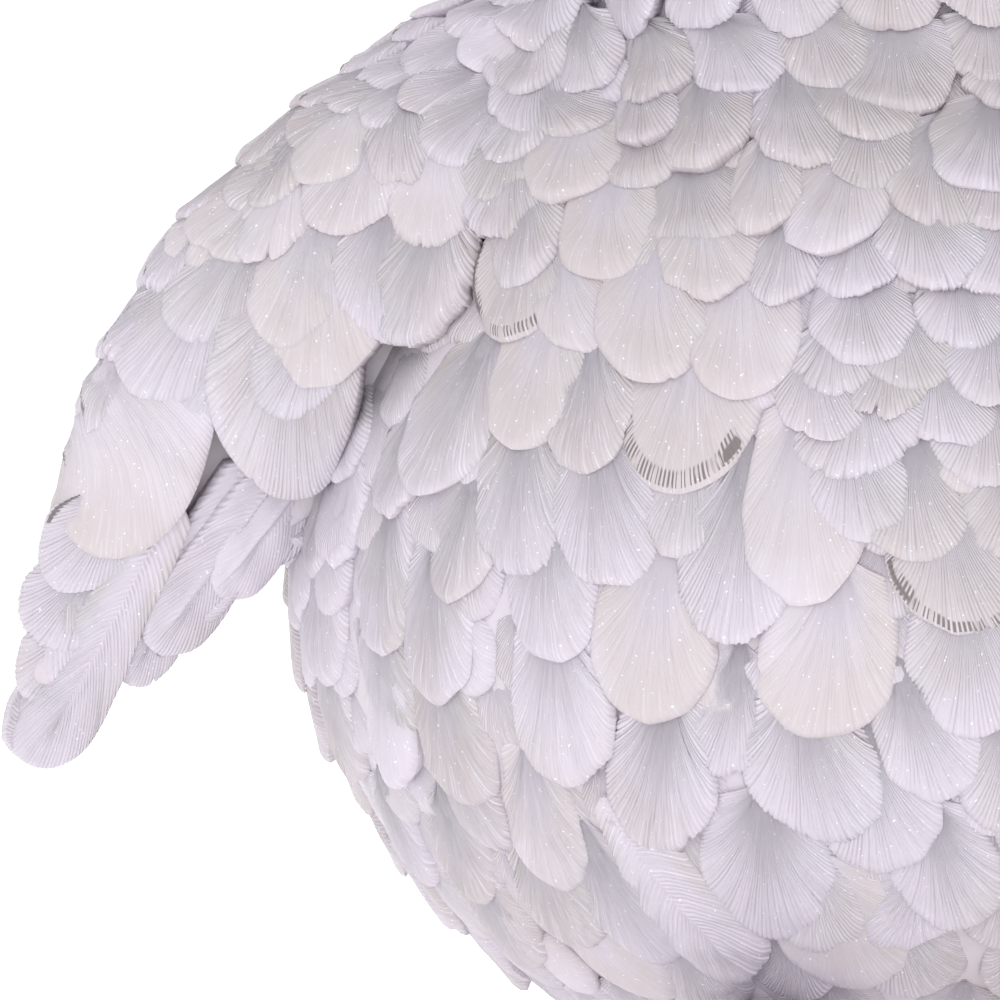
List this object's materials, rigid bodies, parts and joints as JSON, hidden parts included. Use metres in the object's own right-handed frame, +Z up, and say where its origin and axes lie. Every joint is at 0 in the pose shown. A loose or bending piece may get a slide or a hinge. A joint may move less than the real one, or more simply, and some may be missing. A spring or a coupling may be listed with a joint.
{
  "type": "owl figurine",
  "caption": "Free-standing snowy owl figurine in painted white resin, with overlapping carved feathers, drooping mantled wings and a felt-covered base.",
  "frame": {"origin": "centre of the footprint, on the surface that the figurine stands on", "axes": "+Z up, the owl faces -Y, and its right wing is at -X"},
  "size_m": [0.2018, 0.165, 0.194],
  "materials": {
    "white_resin": "hand-painted, dry-brushed, satin",
    "dark_horn": "gloss black paint",
    "eye_glass": "clear gloss over a yellow iris",
    "steel_rod": "plain",
    "wood_dowel": "plain beech",
    "rubber_bung": "moulded",
    "felt": "felt"
  },
  "bodies": {
    "root": {"body_casting": "white_resin", "head_casting": "white_resin", "right_wing_casting": "white_resin", "left_wing_casting": "white_resin", "tail_casting": "white_resin", "right_foot_casting": "white_resin", "left_foot_casting": "white_resin", "right_foot_claws": "dark_horn", "left_foot_claws": "dark_horn", "right_eye": "eye_glass", "left_eye": "eye_glass", "beak": "dark_horn", "right_wing_pins": "steel_rod", "left_wing_pins": "steel_rod", "tail_pin": "steel_rod", "right_foot_dowel": "wood_dowel", "left_foot_dowel": "wood_dowel", "filling_hole_bung": "rubber_bung", "felt_pad": "felt"}
  },
  "joints": []
}
